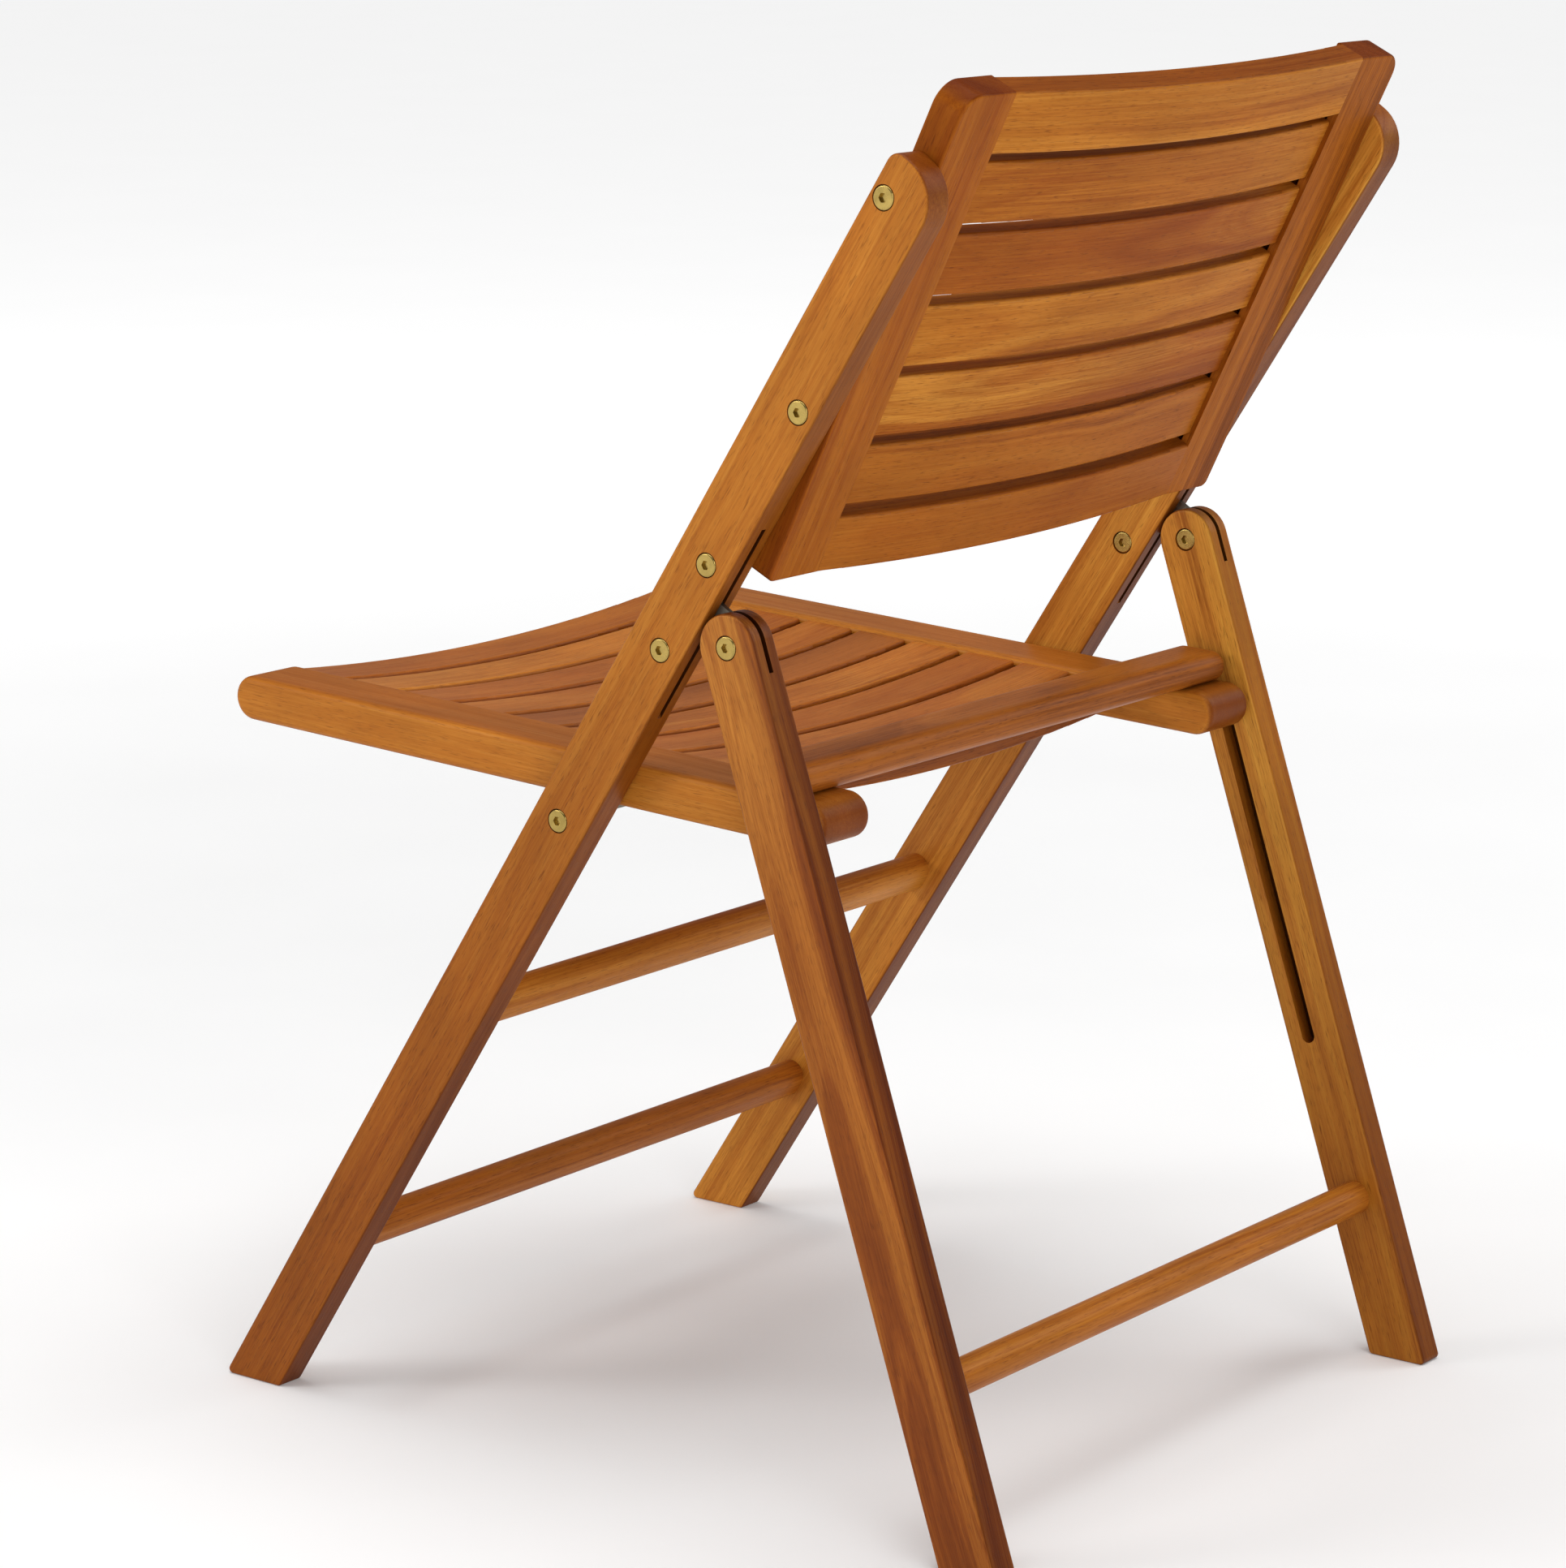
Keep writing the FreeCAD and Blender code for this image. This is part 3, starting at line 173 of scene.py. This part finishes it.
def wood(name, where, layout, seed, light, mid, dark, pith=(0.012, 0.05), slope=0.012,
         band=62.0, contrast=1.0, broad=0.5, knots=(), gloss=0.40, wave=0.006, along=0.0, edge_grain_and_shade=0.62, painted_floor_shade=None, spec=0.11, rim=(0.56, 0.42, 0.26)):
    """Oiled hardwood: growth rings around a pith line, wavy along the board, with
    broad colour bands, fine fibres, pores and any knots."""
    mat = bpy.data.materials.new(name)
    mat.use_nodes = True
    tree = mat.node_tree
    tree.nodes.clear()
    N = Nodes(tree)
    out = N.new("ShaderNodeOutputMaterial")
    bsdf = N.new("ShaderNodeBsdfPrincipled")
    N.link(bsdf.outputs[0], out.inputs["Surface"])
    u, v, w, n_end, n_edge = grain_axes(N, where, layout)
    s1, s2, s3 = (seed * 1.37) % 7.1, (seed * 2.91) % 5.3, (seed * 0.77) % 3.7
    # slow wander of the grain
    slow = N.noise(N.vec(N.math("MULTIPLY_ADD", u, 3.2, s1), N.math("MULTIPLY_ADD", v, 9.0, s2),
                         N.math("MULTIPLY_ADD", w, 9.0, s3)), 1.0, 2.0, 0.5)
    sw = N.new("ShaderNodeSeparateColor")
    N.link(slow.outputs["Color"], sw.inputs[0])
    dv = N.math("MULTIPLY", N.math("SUBTRACT", sw.outputs[0], 0.5), wave * 4.0)
    dw = N.math("MULTIPLY", N.math("SUBTRACT", sw.outputs[1], 0.5), wave * 4.0)
    qv = N.math("ADD", N.math("ADD", v, dv), N.math("MULTIPLY_ADD", u, slope, pith[0]))
    qw = N.math("ADD", N.math("ADD", w, dw), N.math("MULTIPLY_ADD", u, slope * 0.6, pith[1]))
    ring = N.math("SQRT", N.math("ADD", N.math("MULTIPLY", qv, qv), N.math("MULTIPLY", qw, qw)))
    spot = None
    for (ku, kv, kr) in knots:
        du = N.math("MULTIPLY", N.math("SUBTRACT", u, ku), 0.55)
        dk = N.math("SUBTRACT", v, kv)
        d = N.math("SQRT", N.math("ADD", N.math("MULTIPLY", du, du), N.math("MULTIPLY", dk, dk)))
        bend = N.math("MULTIPLY", N.remap(d, kr * 0.6, kr * 5.0, 1.0, 0.0, smooth=True), kr * 1.6)
        ring = N.math("ADD", ring, bend)
        core = N.remap(d, kr * 0.55, kr * 1.15, 1.0, 0.0, smooth=True)
        spot = core if spot is None else N.math("MAXIMUM", spot, core)
    # growth rings of uneven width, drawn out along the board
    a = N.noise(N.vec(N.math("MULTIPLY_ADD", ring, band, s1), N.math("MULTIPLY_ADD", u, 0.9, s2), s3), 1.0, 2.0, 0.55)
    b = N.noise(N.vec(N.math("MULTIPLY_ADD", ring, band * 4.3, s2), N.math("MULTIPLY_ADD", u, 1.6, s3), s1), 1.0, 3.0, 0.6)
    # fibres
    f = N.noise(N.vec(N.math("MULTIPLY_ADD", u, 16.0, s3), N.math("MULTIPLY_ADD", v, 900.0, s1),
                      N.math("MULTIPLY_ADD", w, 900.0, s2)), 1.0, 3.0, 0.65)
    # short dark pores
    p = N.noise(N.vec(N.math("MULTIPLY_ADD", u, 120.0, s1), N.math("MULTIPLY_ADD", v, 2100.0, s3),
                      N.math("MULTIPLY_ADD", w, 2100.0, s2)), 1.0, 1.0, 0.5)
    # cloudy figure across the grain
    c = N.noise(N.vec(N.math("MULTIPLY_ADD", u, 11.0, s2), N.math("MULTIPLY_ADD", v, 34.0, s3),
                      N.math("MULTIPLY_ADD", w, 34.0, s1)), 1.0, 3.0, 0.55)
    ta = N.remap(a.outputs[0], 0.30, 0.70, -0.5, 0.5)
    tb = N.remap(b.outputs[0], 0.30, 0.70, -0.5, 0.5)
    tf = N.math("SUBTRACT", f.outputs[0], 0.5)
    t = N.math("MULTIPLY", ta, broad * contrast)
    t = N.math("MULTIPLY_ADD", tb, 0.42 * contrast, t)
    t = N.math("MULTIPLY_ADD", tf, 0.85, t)
    t = N.math("ADD", t, 0.46, clamp=False)
    if along:
        t = N.math("MULTIPLY_ADD", u, along, t)
    t = N.math("MINIMUM", N.math("MAXIMUM", t, 0.0), 1.0)
    col = N.ramp(t, [(0.0, light), (0.42, mid), (0.74, scaled(tuple((m + 2 * d) / 3 for m, d in zip(mid, dark)), 1.0)), (1.0, dark)])
    figure = N.remap(c.outputs[0], 0.3, 0.7, 0.90, 1.10)
    col = N.mix(1.0, col, N.vec(figure, figure, figure), "MULTIPLY")
    pores = N.remap(p.outputs[0], 0.60, 0.72, 0.0, 0.55)
    col = N.mix(pores, col, scaled(dark, 0.5))
    # narrow faces are cut across the rings and are darker, and on top of that they carry painted shade for the faces
    # the lamps light less; end grain drinks more oil and is darker
    narrow_grain_and_shade = N.math("MULTIPLY", N.remap(n_edge, 0.45, 0.95, 0.0, 1.0, smooth=True), edge_grain_and_shade)
    ends = N.math("MULTIPLY", N.remap(n_end, 0.35, 0.9, 0.0, 1.0, smooth=True), 0.95)
    col = N.mix(narrow_grain_and_shade, col, rim, "MULTIPLY")
    col = N.mix(ends, col, (0.42, 0.27, 0.16), "MULTIPLY")
    if layout == "long":
        # painted shade on the walls of the saw slots and grooves, within the board's thickness
        depth = N.math("ABSOLUTE", N.math("SUBTRACT", N.math("ABSOLUTE", w), 0.230))
        slot_shade_mask = N.remap(depth, 0.0021, 0.0026, 1.0, 0.0)
        flat = N.remap(N.math("MAXIMUM", n_end, n_edge), 0.2, 0.5, 1.0, 0.0)
        col = N.mix(N.math("MULTIPLY", slot_shade_mask, flat), col, (0.10, 0.07, 0.05), "MULTIPLY")
    if painted_floor_shade:
        # painted shade: the colour darkens towards the board's lower end, near the floor, where less light reaches
        floor_shade_amount = N.remap(u, painted_floor_shade[0], painted_floor_shade[1], 1.0, 0.0, smooth=True)
        col = N.mix(floor_shade_amount, col, painted_floor_shade[2], "MULTIPLY")
    if spot is not None:
        col = N.mix(N.math("MULTIPLY", spot, 0.82), col, scaled(dark, 0.35))
    N.link(col, bsdf.inputs["Base Color"])
    rough = N.math("ADD", N.math("MULTIPLY", f.outputs[0], 0.16), N.math("MULTIPLY_ADD", tb, 0.05, gloss - 0.08))
    N.link(rough, bsdf.inputs["Roughness"])
    bsdf.inputs["IOR"].default_value = 1.46
    bsdf.inputs["Specular IOR Level"].default_value = spec
    bsdf.inputs["Coat Weight"].default_value = 0.02
    bsdf.inputs["Coat Roughness"].default_value = 0.22
    height = N.math("SUBTRACT", N.math("MULTIPLY", f.outputs[0], 0.55), N.math("MULTIPLY", pores, 1.1))
    height = N.math("MULTIPLY_ADD", tb, 0.30, height)
    bump = N.new("ShaderNodeBump")
    bump.inputs["Strength"].default_value = 0.35
    bump.inputs["Distance"].default_value = 0.00022
    N.link(height, bump.inputs["Height"])
    N.link(bump.outputs[0], bsdf.inputs["Normal"])
    return mat


def metal(name, color, rough, streak, coat=0.0):
    """Plated steel: faint turning or rolling marks, small stains and a little wear."""
    mat = bpy.data.materials.new(name)
    mat.use_nodes = True
    tree = mat.node_tree
    tree.nodes.clear()
    N = Nodes(tree)
    out = N.new("ShaderNodeOutputMaterial")
    bsdf = N.new("ShaderNodeBsdfPrincipled")
    N.link(bsdf.outputs[0], out.inputs["Surface"])
    tc = N.new("ShaderNodeTexCoord")
    st = N.noise(N.vmath("MULTIPLY", tc.outputs["Object"], streak), 1.0, 2.0, 0.6)
    cl = N.noise(tc.outputs["Object"], 140.0, 3.0, 0.6)
    k = N.math("ADD", N.remap(cl.outputs[0], 0.3, 0.7, 0.80, 1.12), N.math("MULTIPLY", N.math("SUBTRACT", st.outputs[0], 0.5), 0.25))
    col = N.mix(1.0, color, N.vec(k, k, k), "MULTIPLY")
    N.link(col, bsdf.inputs["Base Color"])
    bsdf.inputs["Metallic"].default_value = 1.0
    rr = N.math("ADD", N.math("MULTIPLY", st.outputs[0], 0.18), N.remap(cl.outputs[0], 0.3, 0.7, rough - 0.12, rough))
    N.link(rr, bsdf.inputs["Roughness"])
    bump = N.new("ShaderNodeBump")
    bump.inputs["Strength"].default_value = 0.15
    bump.inputs["Distance"].default_value = 0.00005
    N.link(st.outputs[0], bump.inputs["Height"])
    N.link(bump.outputs[0], bsdf.inputs["Normal"])
    return mat


# --------------------------------------------------------------- wood tones
WHEAT = srgb(226, 166, 76)
GOLD = srgb(200, 132, 50)
HONEY = srgb(178, 107, 33)
AMBER = srgb(162, 90, 25)
RUST = srgb(138, 66, 18)
BROWN = srgb(108, 52, 16)
PLUM = srgb(106, 52, 26)

WOOD = {
    # name: where, layout, seed, light, mid, dark, options
    # options that darken the side faces add painted shade to the wood's own tone; options that darken the lower end of
    # posts and legs are painted shade
    "left_post": ("post", "long", 3, GOLD, HONEY, RUST, dict(rim=(0.46, 0.34, 0.22), painted_floor_shade=(0.16, 0.90, (0.66, 0.55, 0.44)), edge_grain_and_shade=0.8, pith=(0.03, -0.16), slope=0.006, band=50, broad=0.42, contrast=0.75, gloss=0.42)),
    "right_post": ("post", "long", 11, srgb(226, 168, 70), GOLD, AMBER, dict(edge_grain_and_shade=1.0, rim=(0.34, 0.22, 0.12), painted_floor_shade=(0.05, 0.40, (0.94, 0.92, 0.86)), pith=(0.02, 0.17), slope=0.008, band=46, broad=0.5)),
    "rear_leg_left": ("leg", "long", 5, srgb(196, 128, 52), srgb(160, 92, 34), srgb(124, 62, 24), dict(rim=(0.50, 0.40, 0.30), edge_grain_and_shade=0.9, painted_floor_shade=(-0.17, 0.03, (0.72, 0.60, 0.52)), pith=(0.006, -0.19), slope=0.008, band=210, broad=0.62, contrast=1.15, gloss=0.38)),
    "rear_leg_right": ("leg", "long", 17, srgb(220, 160, 64), GOLD, RUST, dict(edge_grain_and_shade=0.95, painted_floor_shade=(-0.44, -0.04, (0.58, 0.48, 0.36)), pith=(0.016, 0.2), slope=0.010, band=60, broad=0.55)),
    "front_upper_stretcher": ("post", "bar", 23, GOLD, HONEY, RUST, dict(edge_grain_and_shade=0.3, pith=(-0.26, -0.27), slope=0.01, band=64)),
    "front_lower_stretcher": ("post", "bar", 29, HONEY, AMBER, BROWN, dict(pith=(-0.03, -0.09), slope=0.02, band=70, broad=0.7)),
    "rear_stretcher": ("leg", "bar", 31, GOLD, HONEY, RUST, dict(pith=(0.03, 0.39), slope=0.02, band=70, broad=0.6)),
    "back_stile_left": ("panel", "stile", 37, HONEY, AMBER, RUST, dict(spec=0.03, pith=(-0.14, 0.06), slope=0.01, band=56)),
    "back_stile_right": ("panel", "stile", 41, HONEY, AMBER, BROWN, dict(spec=0.03, pith=(0.26, 0.05), slope=0.012, band=60)),
    "back_top_rail": ("panel", "bow", 43, GOLD, HONEY, RUST, dict(edge_grain_and_shade=1.0, rim=(0.46, 0.32, 0.20), spec=0.03, pith=(-0.33, 0.04), slope=0.012, band=58, broad=0.5)),
    "back_slat_1": ("panel", "bow", 47, GOLD, HONEY, RUST, dict(spec=0.03, pith=(-0.24, -0.05), slope=0.02, band=66, broad=0.6)),
    "back_slat_2": ("panel", "bow", 53, GOLD, AMBER, RUST, dict(spec=0.03, pith=(-0.20, 0.045), slope=0.03, band=78, broad=0.75)),
    "back_slat_3": ("panel", "bow", 59, GOLD, HONEY, RUST, dict(spec=0.03, pith=(-0.16, -0.04), slope=0.02, band=60, broad=0.55)),
    "back_slat_4": ("panel", "bow", 61, GOLD, AMBER, RUST, dict(spec=0.03, pith=(-0.12, 0.05), slope=0.025, band=84, broad=0.8)),
    "back_slat_5": ("panel", "bow", 67, HONEY, AMBER, BROWN, dict(spec=0.03, pith=(-0.05, -0.05), slope=0.03, band=90, broad=0.85)),
    "back_bottom_rail": ("panel", "bow", 71, HONEY, AMBER, RUST, dict(spec=0.03, pith=(-0.02, 0.06), slope=0.015, band=60, broad=0.5)),
    "seat_rail_left": ("seat", "rail", 73, GOLD, HONEY, AMBER, dict(pith=(0.01, -0.31), slope=0.006, band=40, broad=0.35, contrast=0.7, gloss=0.44)),
    "seat_rail_right": ("seat", "rail", 79, GOLD, HONEY, AMBER, dict(pith=(0.01, 0.3), slope=0.006, band=44, broad=0.4, contrast=0.8)),
    "seat_slat_1": ("seat", "dish", 83, HONEY, AMBER, RUST, dict(contrast=0.7, pith=(0.02, 0.06), slope=0.02, band=60)),
    "seat_slat_2": ("seat", "dish", 89, GOLD, HONEY, RUST, dict(contrast=0.7, pith=(-0.05, 0.05), slope=0.02, band=64)),
    "seat_slat_3": ("seat", "dish", 97, HONEY, AMBER, RUST, dict(contrast=0.7, pith=(-0.09, 0.05), slope=0.02, band=70)),
    "seat_slat_4": ("seat", "dish", 101, HONEY, AMBER, RUST, dict(contrast=0.7, pith=(-0.12, 0.06), slope=0.02, band=60)),
    "seat_slat_5": ("seat", "dish", 103, AMBER, srgb(148, 82, 26), BROWN, dict(contrast=0.7, pith=(-0.17, 0.05), slope=0.02, band=74)),
    "seat_slat_6": ("seat", "dish", 107, GOLD, AMBER, BROWN, dict(contrast=0.7, pith=(-0.22, 0.04), slope=0.03, band=80)),
    "seat_slat_7": ("seat", "dish", 109, HONEY, AMBER, RUST, dict(contrast=0.7, pith=(-0.27, 0.05), slope=0.02, band=70)),
    "seat_slat_8": ("seat", "dish", 113, HONEY, srgb(156, 84, 28), PLUM, dict(pith=(-0.31, 0.05), slope=0.02, band=60, broad=0.7)),
    "seat_slat_9": ("seat", "dish", 127, HONEY, AMBER, BROWN, dict(pith=(-0.35, 0.05), slope=0.03, band=80, broad=0.8)),
    "seat_crossbar": ("seat", "bar", 131, HONEY, AMBER, BROWN, dict(pith=(-0.41, 0.03), slope=0.02, band=76, broad=0.7)),
}

for node, (where, layout, seed, lt, md, dk, opts) in WOOD.items():
    mat = wood("wood_" + node, where, layout, seed, lt, md, dk, **opts)
    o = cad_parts[node]
    o.data.materials.clear()
    o.data.materials.append(mat)

BRASS = metal("bolt_brass", srgb(176, 150, 84), 0.22, (500.0, 60.0, 60.0))
STEEL = metal("fitting_steel", srgb(128, 122, 110), 0.42, (60.0, 300.0, 900.0))
for node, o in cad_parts.items():
    if node in WOOD:
        continue
    m = BRASS if ("bolts" in node or "sleeve" in node) else STEEL
    o.data.materials.clear()
    o.data.materials.append(m)


# ------------------------------------------------------------ floor and light
def plane_mesh(name, size, z):
    me = bpy.data.meshes.new(name)
    s = size
    me.from_pydata([(-s, -s, z), (s, -s, z), (s, s, z), (-s, s, z)], [], [(0, 1, 2, 3)])
    ob = bpy.data.objects.new(name, me)
    scene.collection.objects.link(ob)
    return ob


floor = plane_mesh("floor", 90.0, 0.0)
fm = bpy.data.materials.new("floor_pale")
fm.use_nodes = True
FN = Nodes(fm.node_tree)
fb = fm.node_tree.nodes["Principled BSDF"]
ft = FN.new("ShaderNodeTexCoord")
grain_f = FN.noise(ft.outputs["Object"], 3.0, 3.0, 0.5)
fv = FN.remap(grain_f.outputs[0], 0.3, 0.7, 0.86, 0.885)
FN.link(FN.vec(fv, fv, fv), fb.inputs["Base Color"])
fb.inputs["Roughness"].default_value = 0.9
fb.inputs["Specular IOR Level"].default_value = 0.1
# painted light: the floor glows, faintly under the object and more strongly beyond it, so the sweep beyond the object
# is a little brighter than the floor under it
far = FN.vmath("LENGTH", ft.outputs["Object"])
painted_floor_glow = FN.remap(far, 0.7, 4.5, 0.10, 0.66, smooth=True)
fb.inputs["Emission Color"].default_value = (1, 1, 1, 1)
FN.link(painted_floor_glow, fb.inputs["Emission Strength"])
floor.data.materials.append(fm)


def area(name, at, target, size, power, color=(1, 1, 1)):
    ld = bpy.data.lights.new(name, "AREA")
    ld.shape = "RECTANGLE"
    ld.size, ld.size_y = size
    ld.energy = power
    ld.color = color
    ob = bpy.data.objects.new(name, ld)
    scene.collection.objects.link(ob)
    ob.location = at
    ob.rotation_euler = (Vector(target) - Vector(at)).to_track_quat("-Z", "Y").to_euler()
    return ob


mid_point = (0.0, 0.0, 0.42)
area("key", (5.0, -4.2, 2.6), mid_point, (2.4, 2.4), 118.0)
area("fill", (3.6, 5.0, 2.4), mid_point, (3.4, 2.6), 100.0)
area("top", (0.2, 0.1, 3.6), mid_point, (3.4, 3.4), 98.0)
area("rim", (-2.4, 1.4, 1.9), mid_point, (1.4, 1.4), 14.0)

world = bpy.data.worlds.new("studio")
scene.world = world
world.use_nodes = True
wn = Nodes(world.node_tree)
bg = world.node_tree.nodes["Background"]
bg.inputs["Color"].default_value = (1.0, 1.0, 1.0, 1.0)
bg.inputs["Strength"].default_value = 0.27
